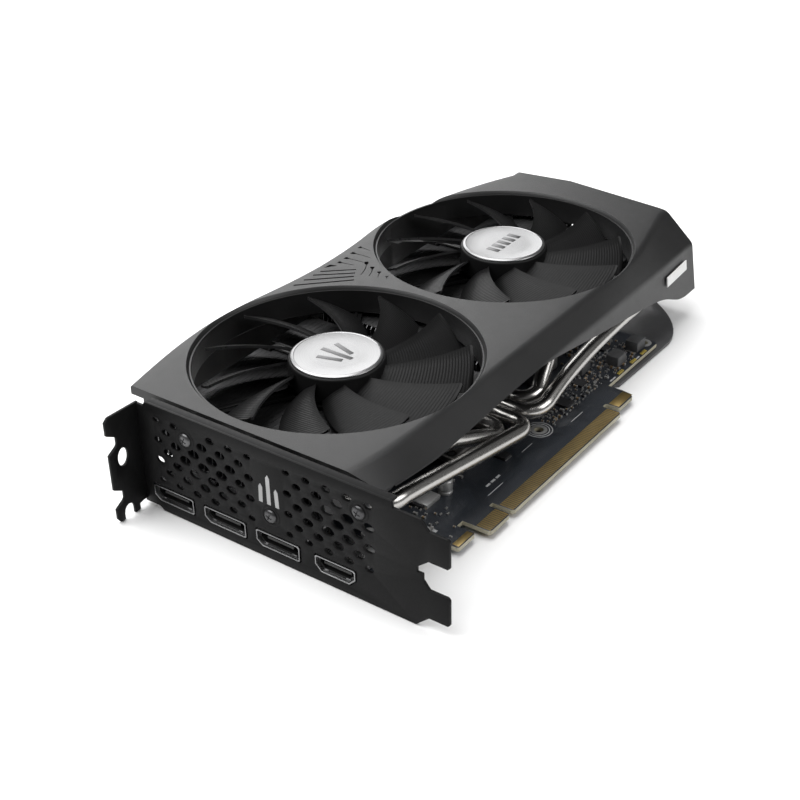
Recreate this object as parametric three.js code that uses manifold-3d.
// Dual-fan, dual-slot graphics card.
// X runs from the I/O bracket towards the far end, Y from the edge connector towards the top edge,
// Z from the backplate up through the circuit board to the fans. Millimetres, +Z up.
import * as THREE from 'three';
import { mergeVertices } from 'three/addons/utils/BufferGeometryUtils.js';
import Module from 'manifold-3d';

const wasm = await Module();
wasm.setup();

// ---------------------------------------------------------------- driving dimensions
// Levels above the underside of the backplate.
const BACKPLATE_THICKNESS = 1.2;
const BOARD_BOTTOM = 1.83;
const BOARD_THICKNESS = 1.57;
const BOARD_TOP = BOARD_BOTTOM + BOARD_THICKNESS;
const CLEARANCE = 0.3;
const PART_SEAT = BOARD_TOP + CLEARANCE;
const BASE_BOTTOM = 6.2;
const BASE_THICKNESS = 2.2;
const FIN_BOTTOM = 15.2;
const FIN_TOP = 27.6;
const FRAME_BOTTOM = 28.1;
const FRAME_THICKNESS = 1.2;
const DUCT_BOTTOM = 29.9;
const SHROUD_TOP = 39.9;
const SHROUD_WALL = 1.8;

// Fans.
const FAN_PITCH = 102.7;
const FAN_NEAR_X = 58.7;
const FAN_Y = 68.9;
const BLADE_COUNT = 11;
const BLADE_PHASE = 0.86;
const BLADE_TIP_RADIUS = 45.2;
const HUB_RADIUS = 16.4;
const HUB_TOP = 38.9;
const CAP_RADIUS = 15.5;
const BORE_RADIUS = 47;
const FLARE_RADIUS = 48.9;
const FLARE_HEIGHT = 2.2;
const DUCT_RADIUS = 48.4;

// Heat pipes.
const PIPE_RADIUS = 2.8;
const PIPE_LOW_Z = 11.6;
const PIPE_BASE_X = { nearInner: 88, nearOuter: 94.8, farOuter: 101, farInner: 107.5 };
const PIPE_FIN_X = { nearInner: 50, nearOuter: 16.5, farOuter: 202, farInner: 130 };
const PIPE_FIN_Z = { nearInner: 22.4, nearOuter: 22.4, farOuter: 19.2, farInner: 22.4 };
const PIPE_END_Y = 97;

// Circuit board.
const BOARD_NEAR_X = 2;
const BOARD_FAR_X = 184.3;
const BOARD_TOP_EDGE_Y = 107;
const BOARD_LOWER_EDGE_Y = 12.8;
const EDGE_START_X = 45.9;
const EDGE_SHORT_LENGTH = 11.65;
const EDGE_KEY_WIDTH = 1.9;
const EDGE_LONG_LENGTH = 71.65;
const CHIP_CENTRE = { x: 92, y: 60 };
const SPRING_SCREW_OFFSET = { x: 22, y: 29 };

// I/O bracket.
const BRACKET_THICKNESS = 1;
const BRACKET_TOP = 40.3;
const BRACKET_TIP_Y = -15.7;
const BRACKET_LENGTH = 120.02;
const FLANGE_Y = BRACKET_TIP_Y + BRACKET_LENGTH;
const FLANGE_REACH = 13.6;
const SLOT_PITCH = 20.32;
const SOCKET_Y = [90.9, 69.1, 47.6];
const WIDE_SOCKET_Y = 25.4;
const SOCKET_BOTTOM = 3.9;
const SOCKET_HEIGHT = 5.7;
const SOCKET_DEPTH = 15;

// ---------------------------------------------------------------- materials
function finish(color, roughness, metalness) {
  return new THREE.MeshStandardMaterial({ color, roughness, metalness });
}

const SHROUD_PLASTIC = finish(0x2e2e30, 0.62, 0);
const FAN_PLASTIC = finish(0x1f1f21, 0.5, 0);
const CAP_METAL = finish(0xc9cacc, 0.25, 1);
const STEEL = finish(0xb0b2b4, 0.3, 1);
const FIN_METAL = finish(0x6e7072, 0.45, 1);
const PIPE_NICKEL = finish(0xa9a8a5, 0.18, 1);
const COPPER = finish(0xb87333, 0.35, 1);
const BOARD_LAMINATE = finish(0x14181c, 0.45, 0);
const BRACKET_PAINT = finish(0x1c1c1d, 0.55, 0.2);
const BACKPLATE_PAINT = finish(0x242528, 0.5, 0.3);
const CHIP_EPOXY = finish(0x101112, 0.5, 0);
const SILICON = finish(0x5a6068, 0.15, 0.3);
const PACKAGE_GREEN = finish(0x1f3a2a, 0.5, 0);
const MAGNET = finish(0x3a3a3c, 0.6, 0.4);
const SOCKET_STEEL = finish(0x9a9c9e, 0.3, 1);
const SOCKET_PLASTIC = finish(0x151515, 0.6, 0);
const SCREW_BLACK = finish(0x3b3b3d, 0.4, 0.8);
const LABEL_WHITE = finish(0xe8e8e6, 0.6, 0);
const LEAD_PVC = finish(0x111111, 0.55, 0);
const MOTOR_BOARD_GREEN = finish(0x1d4a30, 0.5, 0);

// ---------------------------------------------------------------- helpers
const group = new THREE.Group();
group.name = 'graphics_card';

function addNode(name, geometry, material) {
  const mesh = new THREE.Mesh(geometry, material);
  mesh.name = name;
  group.add(mesh);
  return mesh;
}

// Closed solid for cutting and joining.
function solid(geometry) {
  const plain = geometry.clone();
  plain.deleteAttribute('normal');
  plain.deleteAttribute('uv');
  const welded = mergeVertices(plain, 1e-4);
  return new wasm.Manifold(new wasm.Mesh({
    numProp: 3,
    vertProperties: new Float32Array(welded.attributes.position.array),
    triVerts: new Uint32Array(welded.index.array),
  }));
}

function toGeometry(body) {
  const mesh = body.getMesh();
  const geometry = new THREE.BufferGeometry();
  geometry.setAttribute('position', new THREE.BufferAttribute(mesh.vertProperties, 3));
  geometry.setIndex(new THREE.BufferAttribute(mesh.triVerts, 1));
  geometry.computeVertexNormals();
  return geometry;
}

// Box given by its lowest and highest corner.
function boxBetween(x0, y0, z0, x1, y1, z1) {
  const box = new THREE.BoxGeometry(x1 - x0, y1 - y0, z1 - z0);
  return box.translate((x0 + x1) / 2, (y0 + y1) / 2, (z0 + z1) / 2);
}

// Upright cylinder standing on z0.
function uprightCylinder(x, y, z0, z1, radius, sides) {
  const cylinder = new THREE.CylinderGeometry(radius, radius, z1 - z0, sides);
  return cylinder.rotateX(Math.PI / 2).translate(x, y, (z0 + z1) / 2);
}

function shapeFrom(points) {
  return new THREE.Shape(points.map(([x, y]) => new THREE.Vector2(x, y)));
}

// Plate with the given outline, from z0 to z1.
function plateBetween(shape, z0, z1, curveSegments = 8) {
  const options = { depth: z1 - z0, bevelEnabled: false, curveSegments };
  return new THREE.ExtrudeGeometry(shape, options).translate(0, 0, z0);
}

// Prism whose outline is drawn in the YZ plane, running along X from x0 to x1.
function prismAlongX(shape, x0, x1) {
  const prism = new THREE.ExtrudeGeometry(shape, { depth: x1 - x0, bevelEnabled: false });
  const turn = new THREE.Matrix4().makeBasis(
    new THREE.Vector3(0, 1, 0),
    new THREE.Vector3(0, 0, 1),
    new THREE.Vector3(1, 0, 0),
  );
  return prism.applyMatrix4(turn).translate(x0, 0, 0);
}

// Turned piece about the Z axis through (x, y); profile is [radius, height] pairs.
function turned(profile, x, y, sides) {
  const lathe = new THREE.LatheGeometry(profile.map(([r, z]) => new THREE.Vector2(r, z)), sides);
  return lathe.rotateX(Math.PI / 2).translate(x, y, 0);
}

// Closed skin through equal rings of points, one ring per station.
function loft(rings) {
  const count = rings[0].length;
  const positions = rings.flat().flat();
  const index = [];
  for (let s = 0; s < rings.length - 1; s += 1) {
    for (let i = 0; i < count; i += 1) {
      const a = s * count + i;
      const b = s * count + ((i + 1) % count);
      index.push(a, b, b + count, a, b + count, a + count);
    }
  }
  const last = (rings.length - 1) * count;
  for (let i = 1; i < count - 1; i += 1) {
    index.push(0, i + 1, i);
    index.push(last, last + i, last + i + 1);
  }
  const geometry = new THREE.BufferGeometry();
  geometry.setAttribute('position', new THREE.Float32BufferAttribute(positions, 3));
  geometry.setIndex(index);
  geometry.computeVertexNormals();
  return geometry;
}

// A loft can come out inside-out for one direction of travel; this returns it facing outwards.
function outwardSolid(geometry) {
  const position = geometry.attributes.position;
  const index = geometry.index.array;
  const corner = (k) => new THREE.Vector3().fromBufferAttribute(position, index[k]);
  let volume = 0;
  for (let k = 0; k < index.length; k += 3) {
    volume += corner(k).dot(corner(k + 1).cross(corner(k + 2)));
  }
  if (volume < 0) {
    for (let k = 0; k < index.length; k += 3) {
      [index[k + 1], index[k + 2]] = [index[k + 2], index[k + 1]];
    }
  }
  return solid(geometry);
}

// Straight-line reading of a table of [position, value] pairs.
function along(table, x) {
  const last = table.length - 1;
  if (x <= table[0][0]) return table[0][1];
  for (let i = 0; i < last; i += 1) {
    const [x0, v0] = table[i];
    const [x1, v1] = table[i + 1];
    if (x <= x1) return v0 + ((v1 - v0) * (x - x0)) / (x1 - x0);
  }
  return table[last][1];
}

const FAN_X = { near: FAN_NEAR_X, far: FAN_NEAR_X + FAN_PITCH };
const SIDES = ['near', 'far'];

// ---------------------------------------------------------------- fan shroud
const SHROUD_NEAR_X = 5.5;
const SHROUD_FAR_X = 222;
const SKIRT_BOTTOM = 10.7;
const CREASE_Y = [[SHROUD_NEAR_X, 23.5], [35, 20], [150, 20], [172, 20.6], [189, 22.6], [SHROUD_FAR_X - 1, 31]];
const KNEE_Y = [[SHROUD_NEAR_X, 10.9], [35, 11.8], [100, 13.9], [149, 14.9], [189, 16.4], [SHROUD_FAR_X, 18.4]];
const KNEE_Z = [[SHROUD_NEAR_X, 37.6], [35, 33.7], [65, 34.2], [100, 34.4], [149, 31.8], [SHROUD_FAR_X, 29.6]];
const LIP_Y = [[SHROUD_NEAR_X, 10.6], [35, 11.5], [100, 13.5], [149, 14.5], [189, 15.5], [SHROUD_FAR_X, 15.5]];
const LIP_Z = [[SHROUD_NEAR_X, 37.2], [35, 33.2], [65, 33.7], [100, 33.9], [149, 26], [189, 19.2],
  [201, 16.4], [207, 13.4], [212, 11], [SHROUD_FAR_X, 10.7]];

// Outline of the flat top face; inset moves every edge inwards by the same amount.
function shroudOutline(inset) {
  const topEdge = new THREE.SplineCurve([
    [SHROUD_NEAR_X, 111], [34, 116.8], [60, 118.9], [84, 116.7], [110, 114.7],
    [136, 116], [160, 118.6], [190, 113.4], [223.7, 100.2],
  ].map(([x, y]) => new THREE.Vector2(x, y)));
  const farEdge = new THREE.QuadraticBezierCurve(
    new THREE.Vector2(223.7, 100.2),
    new THREE.Vector2(232.5, 66),
    new THREE.Vector2(SHROUD_FAR_X - 1, 31),
  );
  const points = [...topEdge.getPoints(24), ...farEdge.getPoints(8).slice(1)];
  for (let i = CREASE_Y.length - 2; i >= 0; i -= 1) {
    points.push(new THREE.Vector2(...CREASE_Y[i]));
  }
  if (inset === 0) return new THREE.Shape(points);
  return new THREE.Shape(points.map((point, i) => {
    const before = points[(i + points.length - 1) % points.length];
    const after = points[(i + 1) % points.length];
    const inFrom = point.clone().sub(before).normalize();
    const outTo = after.clone().sub(point).normalize();
    const normal = new THREE.Vector2(inFrom.y + outTo.y, -inFrom.x - outTo.x).normalize();
    const reach = inset / Math.max(0.35, normal.dot(new THREE.Vector2(inFrom.y, -inFrom.x)));
    return point.clone().addScaledVector(normal, reach);
  }));
}

// Sloped apron below the crease on the edge-connector side.
function shroudApron() {
  const stations = [SHROUD_NEAR_X, 20, 35, 65, 100, 125, 149, 172, 189, 200, 207, 214, SHROUD_FAR_X - 1];
  const rings = stations.map((x) => {
    const crease = along(CREASE_Y, x);
    const kneeY = along(KNEE_Y, x);
    const kneeZ = along(KNEE_Z, x);
    const lipY = along(LIP_Y, x);
    const lipZ = along(LIP_Z, x);
    return [
      [x, crease, SHROUD_TOP],
      [x, kneeY, kneeZ],
      [x, lipY, lipZ],
      [x, lipY + SHROUD_WALL, lipZ],
      [x, kneeY + SHROUD_WALL * 1.2, kneeZ - 0.3],
      [x, crease + 1.2, SHROUD_TOP - SHROUD_WALL - 0.4],
      [x, crease + 1.8, SHROUD_TOP],
    ];
  });
  return outwardSolid(loft(rings));
}

// Wall that closes the far end of the apron, from its lower edge up to the crease.
function apronEndWall() {
  const wall = shapeFrom([
    [15.5, SKIRT_BOTTOM], [18.4, 29.6], [31, SHROUD_TOP], [36, SHROUD_TOP], [36, SKIRT_BOTTOM],
  ]);
  return solid(prismAlongX(wall, SHROUD_FAR_X - 1 - SHROUD_WALL, SHROUD_FAR_X - 1));
}

function fanShroud() {
  const inside = SHROUD_TOP - SHROUD_WALL;
  const below = -1;
  let body = solid(plateBetween(shroudOutline(0), SKIRT_BOTTOM, SHROUD_TOP));
  body = body.subtract(solid(plateBetween(shroudOutline(SHROUD_WALL), below, inside)));
  // The skirt runs along the top edge, raised over the power socket, and round the far end.
  const lowerEdgeGap = boxBetween(-5, 5, below, 219.3, 34, inside);
  const bracketGap = boxBetween(-5, 5, below, 12, 130, BRACKET_TOP - 3.6);
  const powerSocketGap = boxBetween(129, 95, below, 186, 130, 17);
  for (const gap of [lowerEdgeGap, bracketGap, powerSocketGap]) {
    body = body.subtract(solid(gap));
  }
  // Outlets for the air in the top edge and the far end.
  const outletPitch = 18;
  for (let i = 0; i < 2; i += 1) {
    const x0 = 189 + i * outletPitch;
    body = body.subtract(solid(boxBetween(x0, 95, 14, x0 + 12, 125, 21)));
  }
  for (let i = 0; i < 3; i += 1) {
    const y0 = 42 + i * outletPitch;
    body = body.subtract(solid(boxBetween(215, y0, 16, 232, y0 + 15, 27)));
  }
  body = body.add(shroudApron()).add(apronEndWall());
  for (const side of SIDES) {
    const x = FAN_X[side];
    body = body.add(solid(uprightCylinder(x, FAN_Y, DUCT_BOTTOM, SHROUD_TOP - 0.4, DUCT_RADIUS, 48)));
  }
  for (const side of SIDES) {
    const x = FAN_X[side];
    const bore = turned([
      [0, 8], [BORE_RADIUS, 8], [BORE_RADIUS, SHROUD_TOP - FLARE_HEIGHT],
      [FLARE_RADIUS, SHROUD_TOP], [FLARE_RADIUS, SHROUD_TOP + 2], [0, SHROUD_TOP + 2],
    ], x, FAN_Y, 48);
    body = body.subtract(outwardSolid(bore));
  }
  return toGeometry(body);
}

addNode('fan_shroud', fanShroud(), SHROUD_PLASTIC);

// Blank label that follows the slope of the apron wall.
function sideLabel() {
  const thickness = 0.4;
  const wallY = (x, z) => {
    const share = (z - along(LIP_Z, x)) / (along(KNEE_Z, x) - along(LIP_Z, x));
    return along(LIP_Y, x) + share * (along(KNEE_Y, x) - along(LIP_Y, x));
  };
  const [low, high] = [22.1, 25.9];
  const rings = [194, 212].map((x) => [
    [x, wallY(x, low) - CLEARANCE, low],
    [x, wallY(x, high) - CLEARANCE, high],
    [x, wallY(x, high) - CLEARANCE - thickness, high],
    [x, wallY(x, low) - CLEARANCE - thickness, low],
  ]);
  return toGeometry(outwardSolid(loft(rings)));
}
addNode('side_label', sideLabel(), LABEL_WHITE);

// ---------------------------------------------------------------- fans
const ROTOR_BOTTOM = 30.1;
const MAGNET_OUTER = 14.8;
const MAGNET_INNER = 13.8;
const BEARING_OUTER = 3.6;
const SHAFT_RADIUS = 1.3;
const LEAD_X = 8;
const HEADER_Y = 104.6;
const HEADER_TOP = 9;

// One sickle-shaped blade: four stations from the hub to the tip, each a thin four-sided section.
function blade() {
  const stations = 4;
  const rootRadius = HUB_RADIUS - 0.7;
  const rings = [];
  for (let s = 0; s < stations; s += 1) {
    const t = s / (stations - 1);
    const radius = rootRadius + (BLADE_TIP_RADIUS - rootRadius) * t;
    const lead = THREE.MathUtils.degToRad(24 * t ** 0.8);
    const chord = THREE.MathUtils.degToRad(27 - 7 * t);
    const leadZ = 37.3 + 1.5 * t;
    const trailZ = ROTOR_BOTTOM + 0.1;
    const thickness = 1.1;
    const at = (angle, z) => [radius * Math.cos(angle), radius * Math.sin(angle), z];
    rings.push([
      at(lead, leadZ),
      at(lead, leadZ - thickness),
      at(lead - chord, trailZ),
      at(lead - chord, trailZ + thickness),
    ]);
  }
  return loft(rings);
}

// Hub cup and blades, moulded in one piece, centred on its own axis.
function fanRotor() {
  const wall = 1.2;
  const cup = turned([
    [0, HUB_TOP - 1.6], [MAGNET_OUTER + 0.4, HUB_TOP - 1.6], [MAGNET_OUTER + 0.4, ROTOR_BOTTOM],
    [HUB_RADIUS, ROTOR_BOTTOM], [HUB_RADIUS, HUB_TOP - 0.8], [HUB_RADIUS - 0.8, HUB_TOP],
    [0, HUB_TOP],
  ], 0, 0, 32);
  let body = outwardSolid(cup);
  for (let i = 0; i < BLADE_COUNT; i += 1) {
    const turn = ((i + BLADE_PHASE) * 2 * Math.PI) / BLADE_COUNT;
    body = body.add(outwardSolid(blade().rotateZ(turn)));
  }
  return toGeometry(body);
}

function hubCap() {
  return turned([
    [0, HUB_TOP + CLEARANCE], [CAP_RADIUS, HUB_TOP + CLEARANCE],
    [CAP_RADIUS - 1.1, HUB_TOP + 1], [0, HUB_TOP + 1],
  ], 0, 0, 32);
}

function ring(outer, inner, z0, z1, sides) {
  const profile = [[inner, z0], [outer, z0], [outer, z1], [inner, z1], [inner, z0]];
  return turned(profile, 0, 0, sides);
}

// Base disc with three arms out to the shroud; a notch lets the lead through.
function motorFrame() {
  const top = FRAME_BOTTOM + FRAME_THICKNESS;
  const armReach = 48.3;
  const armWidth = 5;
  let body = solid(uprightCylinder(0, 0, FRAME_BOTTOM, top, HUB_RADIUS - 0.6, 28));
  for (const degrees of [30, 150, 270]) {
    const arm = boxBetween(10, -armWidth / 2, FRAME_BOTTOM, armReach, armWidth / 2, top);
    body = body.add(solid(arm.rotateZ(THREE.MathUtils.degToRad(degrees))));
  }
  body = body.add(solid(uprightCylinder(0, 0, top - 0.2, top + 1.3, BEARING_OUTER + 1.6, 16)));
  body = body.subtract(solid(uprightCylinder(0, 0, FRAME_BOTTOM + 0.5, top + 2, BEARING_OUTER + CLEARANCE, 16)));
  body = body.subtract(solid(boxBetween(5.4, 9, FRAME_BOTTOM - 1, 10.6, 20, top + 1)));
  return toGeometry(body);
}

// Stack of steel laminations with six wound poles.
function stator() {
  const core = ring(7.4, BEARING_OUTER + CLEARANCE + 0.2, 31.4, 36, 18);
  let body = outwardSolid(core);
  for (let i = 0; i < 6; i += 1) {
    const pole = boxBetween(6.6, -1.9, 31.6, MAGNET_INNER - 0.8, 1.9, 35.8).rotateZ((i * Math.PI) / 3);
    body = body.add(solid(pole));
  }
  return toGeometry(body);
}

function motorBoard() {
  let body = outwardSolid(ring(13, BEARING_OUTER + 2.2, 29.7, 30.5, 20));
  body = body.subtract(solid(boxBetween(5, 9.5, 29, 11, 14, 31)));
  return toGeometry(body);
}

// Flat four-wire lead from the motor to the board header.
function fanLead() {
  const headerY = HEADER_Y - FAN_Y;
  const width = 4.4;
  const thickness = 1;
  const z0 = FRAME_BOTTOM + 0.1;
  const z1 = z0 + thickness;
  const x0 = LEAD_X - width / 2;
  const x1 = LEAD_X + width / 2;
  const y1 = headerY + thickness / 2;
  let body = solid(boxBetween(x0, 9.8, z0, x1, y1, z1));
  body = body.add(solid(boxBetween(x0, y1 - thickness, HEADER_TOP + CLEARANCE, x1, y1, z1)));
  return toGeometry(body);
}

for (const side of SIDES) {
  const place = (mesh) => mesh.position.set(FAN_X[side], FAN_Y, 0);
  place(addNode(`fan_rotor_${side}`, fanRotor(), FAN_PLASTIC));
  place(addNode(`hub_cap_${side}`, hubCap(), CAP_METAL));
  place(addNode(
    `rotor_magnet_${side}`,
    ring(MAGNET_OUTER + 0.1, MAGNET_INNER, ROTOR_BOTTOM + 0.6, HUB_TOP - 2, 24),
    MAGNET,
  ));
  place(addNode(
    `rotor_shaft_${side}`,
    uprightCylinder(0, 0, FRAME_BOTTOM + 1.1, HUB_TOP - 1.9, SHAFT_RADIUS, 10),
    STEEL,
  ));
  place(addNode(
    `bearing_${side}`,
    ring(BEARING_OUTER, SHAFT_RADIUS + 0.45, FRAME_BOTTOM + 0.8, 36.2, 16),
    COPPER,
  ));
  place(addNode(`stator_${side}`, stator(), SOCKET_STEEL));
  place(addNode(`motor_board_${side}`, motorBoard(), MOTOR_BOARD_GREEN));
  place(addNode(`motor_frame_${side}`, motorFrame(), FAN_PLASTIC));
  place(addNode(`fan_lead_${side}`, fanLead(), LEAD_PVC));
  const headerX = FAN_X[side] + LEAD_X;
  addNode(
    `fan_header_${side}`,
    boxBetween(headerX - 5, HEADER_Y - 2.2, PART_SEAT, headerX + 5, HEADER_Y + 2.1, HEADER_TOP),
    SOCKET_PLASTIC,
  );
}

// ---------------------------------------------------------------- heatsink
// Pipe along the base, out over the board's lower edge, up, and back into the fins.
function heatPipe(key, { outward, runY, lean, bend, climb }) {
  const baseX = PIPE_BASE_X[key];
  const finX = PIPE_FIN_X[key];
  const finZ = PIPE_FIN_Z[key];
  const span = Math.abs(finX - baseX);
  const path = new THREE.CurvePath();
  const a = new THREE.Vector3(baseX, 92, PIPE_LOW_Z);
  const b = new THREE.Vector3(baseX, runY + bend, PIPE_LOW_Z);
  const c = new THREE.Vector3(baseX + outward * bend, runY, PIPE_LOW_Z + 1.3);
  const e = new THREE.Vector3(finX - outward * bend, runY + lean, finZ);
  const f = new THREE.Vector3(finX, runY + lean + bend, finZ);
  const g = new THREE.Vector3(finX, PIPE_END_Y, finZ);
  const guides = climb.map(([share, lift]) => new THREE.Vector3(
    baseX + outward * span * share,
    runY + lean * lift,
    c.z + (finZ - c.z) * lift,
  ));
  path.add(new THREE.LineCurve3(a, b));
  path.add(new THREE.QuadraticBezierCurve3(b, new THREE.Vector3(baseX, runY, PIPE_LOW_Z), c));
  path.add(new THREE.CubicBezierCurve3(c, ...guides, e));
  path.add(new THREE.QuadraticBezierCurve3(e, new THREE.Vector3(finX, runY + lean, finZ), f));
  path.add(new THREE.LineCurve3(f, g));
  return path;
}

// Chain of the corner points that matter, so straight runs cost no extra faces.
class PipeSpine extends THREE.Curve {
  constructor(path) {
    super();
    const points = [];
    for (const curve of path.curves) {
      const pieces = curve.isLineCurve3 ? 1 : 5;
      const own = curve.getPoints(pieces);
      points.push(...(points.length ? own.slice(1) : own));
    }
    this.points = points;
    this.arcLengthDivisions = points.length - 1;
  }

  getPoint(t, target = new THREE.Vector3()) {
    const last = this.points.length - 1;
    const place = Math.min(t * last, last - 1e-9);
    const i = Math.floor(place);
    return target.copy(this.points[i]).lerp(this.points[i + 1], place - i);
  }

  getPointAt(u, target) {
    return this.getPoint(u, target);
  }

  getTangentAt(u, target = new THREE.Vector3()) {
    const last = this.points.length - 1;
    const i = Math.round(u * last);
    const before = this.points[Math.max(0, i - 1)];
    const after = this.points[Math.min(last, i + 1)];
    return target.copy(after).sub(before).normalize();
  }
}

function pipeBody(path) {
  const spine = new PipeSpine(path);
  const sides = 10;
  const profile = new THREE.Shape();
  for (let i = 0; i < sides; i += 1) {
    const angle = (i * 2 * Math.PI) / sides;
    const px = PIPE_RADIUS * Math.cos(angle);
    const py = PIPE_RADIUS * Math.sin(angle);
    if (i === 0) profile.moveTo(px, py);
    else profile.lineTo(px, py);
  }
  profile.closePath();
  return new THREE.ExtrudeGeometry(profile, { steps: spine.points.length - 1, extrudePath: spine });
}

// Each run leaves the base, passes two guide points on its climb and turns into the fins.
const EVEN_CLIMB = [[0.38, 0.33], [0.62, 0.67]];
const EARLY_CLIMB = [[0.22, 0.5], [0.42, 1]];
const PIPE_RUNS = {
  nearInner: { name: 'near_inner', outward: -1, runY: 21.5, lean: 2, bend: 8, climb: EVEN_CLIMB },
  nearOuter: { name: 'near_outer', outward: -1, runY: 15.5, lean: 2.5, bend: 8, climb: EVEN_CLIMB },
  farOuter: { name: 'far_outer', outward: 1, runY: 17.5, lean: 3.1, bend: 8, climb: EARLY_CLIMB },
  farInner: { name: 'far_inner', outward: 1, runY: 24, lean: 2, bend: 7, climb: EVEN_CLIMB },
};
for (const [key, run] of Object.entries(PIPE_RUNS)) {
  addNode(`heat_pipe_${run.name}`, pipeBody(heatPipe(key, run)), PIPE_NICKEL);
}

// Comb of upright fins on a folded lower sheet, with holes for the pipes and a notch for the fan lead.
const FIN_FIRST_Y = 35;
const FIN_LAST_Y = 108.4;
const FIN_COUNT = 17;
const FIN_SHEET = 0.5;

function finStack(x0, x1, pipeKeys, leadX) {
  const pitch = (FIN_LAST_Y - FIN_FIRST_Y) / (FIN_COUNT - 1);
  const comb = new THREE.Shape();
  comb.moveTo(FIN_FIRST_Y, FIN_BOTTOM);
  comb.lineTo(FIN_LAST_Y + FIN_SHEET, FIN_BOTTOM);
  for (let i = FIN_COUNT - 1; i >= 0; i -= 1) {
    const y = FIN_FIRST_Y + i * pitch;
    comb.lineTo(y + FIN_SHEET, FIN_TOP);
    comb.lineTo(y, FIN_TOP);
    if (i > 0) {
      comb.lineTo(y, FIN_BOTTOM + FIN_SHEET);
      comb.lineTo(y - pitch + FIN_SHEET, FIN_BOTTOM + FIN_SHEET);
    }
  }
  comb.closePath();
  let body = solid(prismAlongX(comb, x0, x1));
  for (const key of pipeKeys) {
    const radius = PIPE_RADIUS + 0.5;
    const hole = new THREE.CylinderGeometry(radius, radius, 90, 8);
    body = body.subtract(solid(hole.translate(PIPE_FIN_X[key], 60, PIPE_FIN_Z[key])));
  }
  const notch = boxBetween(leadX - 3.2, 102.4, FIN_BOTTOM - 1, leadX + 3.2, FIN_LAST_Y + 2, FIN_TOP + 1);
  body = body.subtract(solid(notch));
  // The shroud narrows towards the far corner, so the last fins are shorter there.
  body = body.subtract(solid(boxBetween(186, 100, 0, 230, FIN_LAST_Y + 2, FIN_TOP + 1)));
  return toGeometry(body);
}

const finsNear = finStack(8, 93, ['nearOuter', 'nearInner'], FAN_X.near + LEAD_X);
const finsFar = finStack(97, 213, ['farInner', 'farOuter'], FAN_X.far + LEAD_X);
addNode('fin_stack_near', finsNear, FIN_METAL);
addNode('fin_stack_far', finsFar, FIN_METAL);

const SCREW_SPOTS = [[-1, -1], [1, -1], [1, 1], [-1, 1]].map(([sx, sy]) => [
  CHIP_CENTRE.x + sx * SPRING_SCREW_OFFSET.x,
  CHIP_CENTRE.y + sy * SPRING_SCREW_OFFSET.y,
]);

// Cold plate with four ears for the spring screws.
function heatsinkBase() {
  const half = { x: 25, y: 32 };
  const top = BASE_BOTTOM + BASE_THICKNESS;
  let body = solid(boxBetween(
    CHIP_CENTRE.x - half.x,
    CHIP_CENTRE.y - half.y,
    BASE_BOTTOM,
    CHIP_CENTRE.x + half.x,
    CHIP_CENTRE.y + half.y,
    top,
  ));
  for (const [x, y] of SCREW_SPOTS) {
    body = body.subtract(solid(uprightCylinder(x, y, BASE_BOTTOM - 1, top + 1, 1.7, 12)));
  }
  return toGeometry(body);
}
addNode('heatsink_base', heatsinkBase(), COPPER);

SCREW_SPOTS.forEach(([x, y], i) => {
  const screw = turned([
    [0, 0.35], [3.2, 0.35], [3.2, 1.5], [1.2, 1.5], [1.2, BASE_BOTTOM + BASE_THICKNESS - 0.3],
    [0, BASE_BOTTOM + BASE_THICKNESS - 0.3],
  ], x, y, 8);
  addNode(`spring_screw_${i + 1}`, screw, SCREW_BLACK);
});

// ---------------------------------------------------------------- circuit board and its parts
const EDGE_KEY_X = EDGE_START_X + EDGE_SHORT_LENGTH;
const EDGE_LONG_X = EDGE_KEY_X + EDGE_KEY_WIDTH;
const EDGE_END_X = EDGE_LONG_X + EDGE_LONG_LENGTH;

function circuitBoard() {
  const keyTop = 8;
  const outline = shapeFrom([
    [BOARD_NEAR_X, BOARD_LOWER_EDGE_Y], [33.2, BOARD_LOWER_EDGE_Y], [33.2, 3.6], [42.8, 3.6], [42.8, 10.5],
    [EDGE_START_X, 10.5], [EDGE_START_X, 0.8], [EDGE_START_X + 0.8, 0],
    [EDGE_KEY_X - 0.8, 0], [EDGE_KEY_X, 0.8], [EDGE_KEY_X, keyTop],
    [EDGE_LONG_X, keyTop], [EDGE_LONG_X, 0.8], [EDGE_LONG_X + 0.8, 0],
    [EDGE_END_X - 0.8, 0], [EDGE_END_X, 0.8], [EDGE_END_X, 7.5],
    [EDGE_END_X + 2.4, 7.5], [EDGE_END_X + 2.4, 2], [EDGE_END_X + 13, 2], [EDGE_END_X + 14, 7],
    [EDGE_END_X + 14, BOARD_LOWER_EDGE_Y],
    [BOARD_FAR_X - 1.5, BOARD_LOWER_EDGE_Y], [BOARD_FAR_X, BOARD_LOWER_EDGE_Y + 1.5],
    [BOARD_FAR_X, BOARD_TOP_EDGE_Y], [BOARD_NEAR_X, BOARD_TOP_EDGE_Y],
  ]);
  let body = solid(plateBetween(outline, BOARD_BOTTOM, BOARD_TOP));
  for (const [x, y] of SCREW_SPOTS) {
    body = body.subtract(solid(uprightCylinder(x, y, 0, 5, 1.8, 12)));
  }
  for (const [x, y] of [[105.3, 18.3], [180.8, 17.2], [180.8, 103.5]]) {
    body = body.subtract(solid(uprightCylinder(x, y, 0, 5, 1.6, 12)));
  }
  return toGeometry(body);
}
addNode('circuit_board', circuitBoard(), BOARD_LAMINATE);

function boxOnBoard(x, y, width, depth, height, lift = 0) {
  const z0 = PART_SEAT + lift;
  return boxBetween(x - width / 2, y - depth / 2, z0, x + width / 2, y + depth / 2, z0 + height);
}

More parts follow.
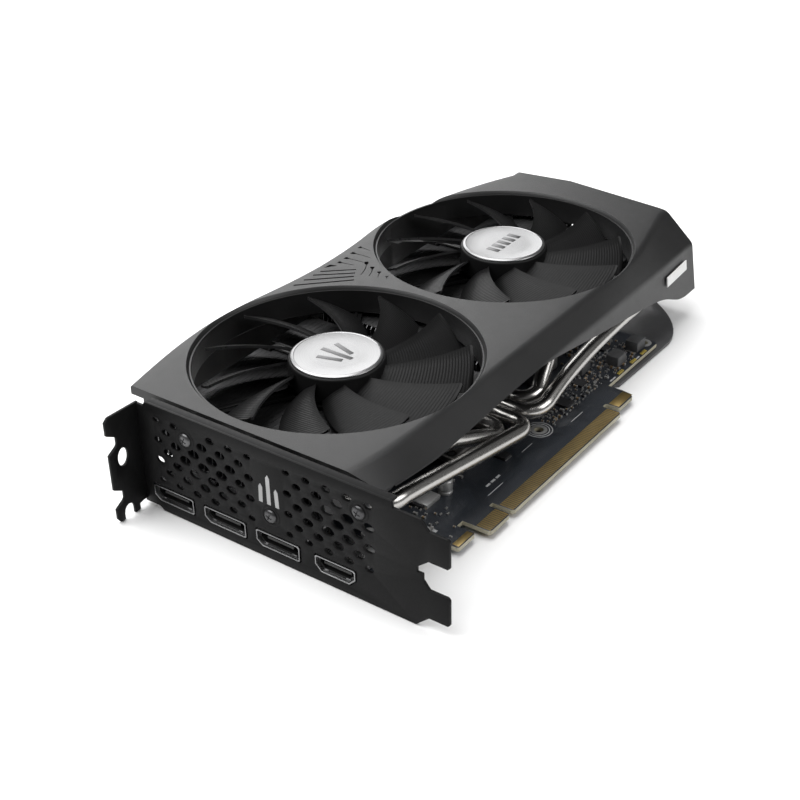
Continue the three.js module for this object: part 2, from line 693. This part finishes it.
const PACKAGE_HEIGHT = 1.2;
addNode('gpu_package', boxOnBoard(CHIP_CENTRE.x, CHIP_CENTRE.y, 34, 34, PACKAGE_HEIGHT), PACKAGE_GREEN);
addNode(
  'gpu_die',
  boxOnBoard(CHIP_CENTRE.x, CHIP_CENTRE.y, 16, 11, 0.7, PACKAGE_HEIGHT + CLEARANCE),
  SILICON,
);
[[62, 50], [62, 70], [85, 92], [103, 92]].forEach(([x, y], i) => {
  addNode(`memory_chip_${i + 1}`, boxOnBoard(x, y, 14, 12, 1.1), CHIP_EPOXY);
});
[38, 50, 62, 74].forEach((y, i) => {
  addNode(`choke_${i + 1}`, boxOnBoard(133, y, 8, 8, 6), MAGNET);
});
[[145, 38], [145, 50]].forEach(([x, y], i) => {
  const can = uprightCylinder(x, y, PART_SEAT, PART_SEAT + 8, 3.2, 14);
  addNode(`capacitor_${i + 1}`, can, SOCKET_STEEL);
});

// Eight-way power socket opening out over the board's top edge.
function powerSocket() {
  const width = 18.6;
  const height = 9.6;
  const x0 = 143;
  const z0 = PART_SEAT;
  const mouthY = 110.8;
  const pitch = 4.2;
  let body = solid(boxBetween(x0, 97.8, z0, x0 + width, mouthY, z0 + height));
  for (let column = 0; column < 4; column += 1) {
    for (let row = 0; row < 2; row += 1) {
      const cx = x0 + width / 2 + (column - 1.5) * pitch;
      const cz = z0 + height / 2 + (row - 0.5) * pitch;
      body = body.subtract(solid(boxBetween(cx - 1.6, 100.5, cz - 1.6, cx + 1.6, mouthY + 1, cz + 1.6)));
    }
  }
  body = body.add(solid(boxBetween(x0 + 7, 103, z0 + height - 0.1, x0 + 11.6, 106.5, z0 + height + 1)));
  return toGeometry(body);
}
addNode('power_socket', powerSocket(), SOCKET_PLASTIC);

// ---------------------------------------------------------------- sockets on the bracket side
// Mouth outlines in the YZ plane, centred on the socket, with its lower side at z = 0.
function narrowMouth(inset) {
  const halfWidth = 8.6 - inset;
  const cut = 2.2 - inset * 0.4;
  return [
    [-halfWidth, inset], [halfWidth - cut, inset], [halfWidth, inset + cut * 0.8],
    [halfWidth, SOCKET_HEIGHT - inset], [-halfWidth, SOCKET_HEIGHT - inset],
  ];
}

function wideMouth(inset) {
  const halfWidth = 7.6 - inset;
  const cut = 2.3 - inset * 0.4;
  return [
    [-halfWidth + cut, inset], [halfWidth - cut, inset], [halfWidth, inset + cut],
    [halfWidth, SOCKET_HEIGHT - inset], [-halfWidth, SOCKET_HEIGHT - inset], [-halfWidth, inset + cut],
  ];
}

function videoSocket(mouth, y) {
  const wall = 0.5;
  const faceX = -0.3;
  const place = (points) => shapeFrom(points.map(([py, pz]) => [py + y, pz + SOCKET_BOTTOM]));
  let body = solid(prismAlongX(place(mouth(0)), faceX, SOCKET_DEPTH));
  body = body.subtract(solid(prismAlongX(place(mouth(wall)), faceX - 1, SOCKET_DEPTH - 4)));
  const tongueZ = SOCKET_BOTTOM + SOCKET_HEIGHT / 2;
  body = body.add(solid(boxBetween(1.2, y - 5.2, tongueZ - 0.3, SOCKET_DEPTH - 3, y + 5.2, tongueZ + 0.7)));
  return toGeometry(body);
}

SOCKET_Y.forEach((y, i) => {
  addNode(`video_socket_${i + 1}`, videoSocket(narrowMouth, y), SOCKET_STEEL);
});
addNode('wide_video_socket', videoSocket(wideMouth, WIDE_SOCKET_Y), SOCKET_STEEL);

// ---------------------------------------------------------------- I/O bracket
const BRACKET_SCREWS = [[83.1, 32], [49.8, 16.7], [15.7, 31.9]];

// Plate outline in the YZ plane with the two tongues that drop into the chassis.
function bracketOutline() {
  const tongue = (base) => [
    [-8.5, base + 1], [-15, base + 1], [BRACKET_TIP_Y, base + 1.7], [BRACKET_TIP_Y, base + 10.5],
    [-15, base + 11.3], [-8.7, base + 11.3],
  ];
  return shapeFrom([
    [FLANGE_Y, 1.2], [98, 1.2], [96.5, 0], [-3.9, 0],
    ...tongue(3.2),
    [-6.5, 17.2], [-6.5, 19.4], [-4.5, 19.4], [-4.5, 21.2],
    ...tongue(3.2 + SLOT_PITCH),
    [-5.9, 38.2], [3.6, 38.2], [4, BRACKET_TOP], [99.6, BRACKET_TOP], [100.6, 38.6], [FLANGE_Y, 38.6],
  ]);
}

// Staggered lattice of six-sided vent holes, left out round the screws and in a middle band.
const VENT_PITCH = 3.76;
const VENT_ROWS = 7;
const VENT_COLUMNS = 23;

function bracketVents() {
  const holes = [];
  for (let row = 0; row < VENT_ROWS; row += 1) {
    const z = 12.7 + row * VENT_PITCH;
    for (let column = row % 2; column < VENT_COLUMNS; column += 2) {
      const y = 12.5 + column * VENT_PITCH;
      const nearScrew = BRACKET_SCREWS.some(([sy, sz]) => Math.hypot(y - sy, z - sz) < 4.4);
      const inMiddleBand = y > 43.5 && y < 56.5;
      if (nearScrew || inMiddleBand) continue;
      const cell = new THREE.CylinderGeometry(1.2, 1.2, 4, 6).rotateZ(Math.PI / 2);
      holes.push(cell.scale(1, 1.6, 1).translate(0.5, y, z));
    }
  }
  return holes;
}

// Flange outline in the XZ plane, reaching out from the plate, with both screw slots.
function bracketFlange() {
  const notch = (z) => [[-FLANGE_REACH, z + 3.7], [-9.8, z + 1.2], [-9.8, z - 1.2], [-FLANGE_REACH, z - 3.7]];
  const outline = shapeFrom([
    [0.5, 39.2], [-FLANGE_REACH + 1.6, 39.2], [-FLANGE_REACH, 38],
    ...notch(29.4), ...notch(29.4 - SLOT_PITCH),
    [-FLANGE_REACH, 1.6], [-FLANGE_REACH + 1.2, 0], [-10.4, 0],
    [-10.4, 2.2], [-9.6, 4.2], [-8.2, 4.8], [-6.8, 4.2], [-6, 2.2],
    [-6, 0], [-3.6, 0], [-3.6, 2.2], [-1.8, 2.6], [0.5, 2.6],
  ]);
  const slot = new THREE.Path();
  slot.absellipse(-8, 2.4 + SLOT_PITCH, 2.2, 3.2, 0, 2 * Math.PI, true);
  outline.holes.push(slot);
  const flange = new THREE.ExtrudeGeometry(outline, {
    depth: BRACKET_THICKNESS, bevelEnabled: false, curveSegments: 6,
  });
  return flange.rotateX(Math.PI / 2).translate(0, FLANGE_Y, 0);
}

function ioBracket() {
  let body = solid(prismAlongX(bracketOutline(), 0, BRACKET_THICKNESS));
  body = body.add(solid(boxBetween(0, 4, BRACKET_TOP - BRACKET_THICKNESS, 3.6, 99.6, BRACKET_TOP)));
  body = body.add(solid(bracketFlange()));
  const opening = (mouth, y) => {
    const points = mouth(-0.35).map(([py, pz]) => [py + y, pz + SOCKET_BOTTOM]);
    return solid(prismAlongX(shapeFrom(points), -2, 3));
  };
  for (const y of SOCKET_Y) {
    body = body.subtract(opening(narrowMouth, y));
  }
  body = body.subtract(opening(wideMouth, WIDE_SOCKET_Y));
  for (const [y, z] of BRACKET_SCREWS) {
    const hole = new THREE.CylinderGeometry(1.6, 1.6, 6, 10).rotateZ(Math.PI / 2);
    body = body.subtract(solid(hole.translate(0, y, z)));
  }
  for (const vent of bracketVents()) {
    body = body.subtract(solid(vent));
  }
  return toGeometry(body);
}
addNode('io_bracket', ioBracket(), BRACKET_PAINT);

BRACKET_SCREWS.forEach(([y, z], i) => {
  const screw = new THREE.LatheGeometry([
    [0, -1.2], [1.4, -1.1], [2.3, -0.5], [2.3, -0.3], [1.2, -0.3], [1.2, 4], [0, 4],
  ].map(([r, h]) => new THREE.Vector2(r, h)), 8);
  addNode(`bracket_screw_${i + 1}`, screw.rotateZ(-Math.PI / 2), SCREW_BLACK).position.set(0, y, z);
});

// ---------------------------------------------------------------- backplate
function backplate() {
  const outline = new THREE.Shape();
  outline.moveTo(4, 14);
  outline.lineTo(149, 14);
  outline.lineTo(151.5, 11.6);
  outline.lineTo(191, 11.2);
  outline.quadraticCurveTo(205, 13, 217.5, 30);
  outline.quadraticCurveTo(223.5, 62, 219, 98);
  outline.lineTo(209, 107);
  outline.lineTo(4, 107);
  outline.closePath();
  let body = solid(plateBetween(outline, 0, BACKPLATE_THICKNESS, 6));
  for (const [x, y] of SCREW_SPOTS) {
    body = body.subtract(solid(uprightCylinder(x, y, -1, 3, 3.7, 14)));
  }
  // Flow-through slots beyond the end of the circuit board.
  for (let i = 0; i < 8; i += 1) {
    const y0 = 32 + i * 8;
    body = body.subtract(solid(boxBetween(188.5, y0, -1, 213, y0 + 4.6, 3)));
  }
  return toGeometry(body);
}
addNode('backplate', backplate(), BACKPLATE_PAINT);

// ---------------------------------------------------------------- seat the card on its middle
const bounds = new THREE.Box3().setFromObject(group);
const middle = bounds.getCenter(new THREE.Vector3());
group.position.set(-middle.x, -middle.y, -bounds.min.z);
group.updateMatrixWorld(true);

export default group;
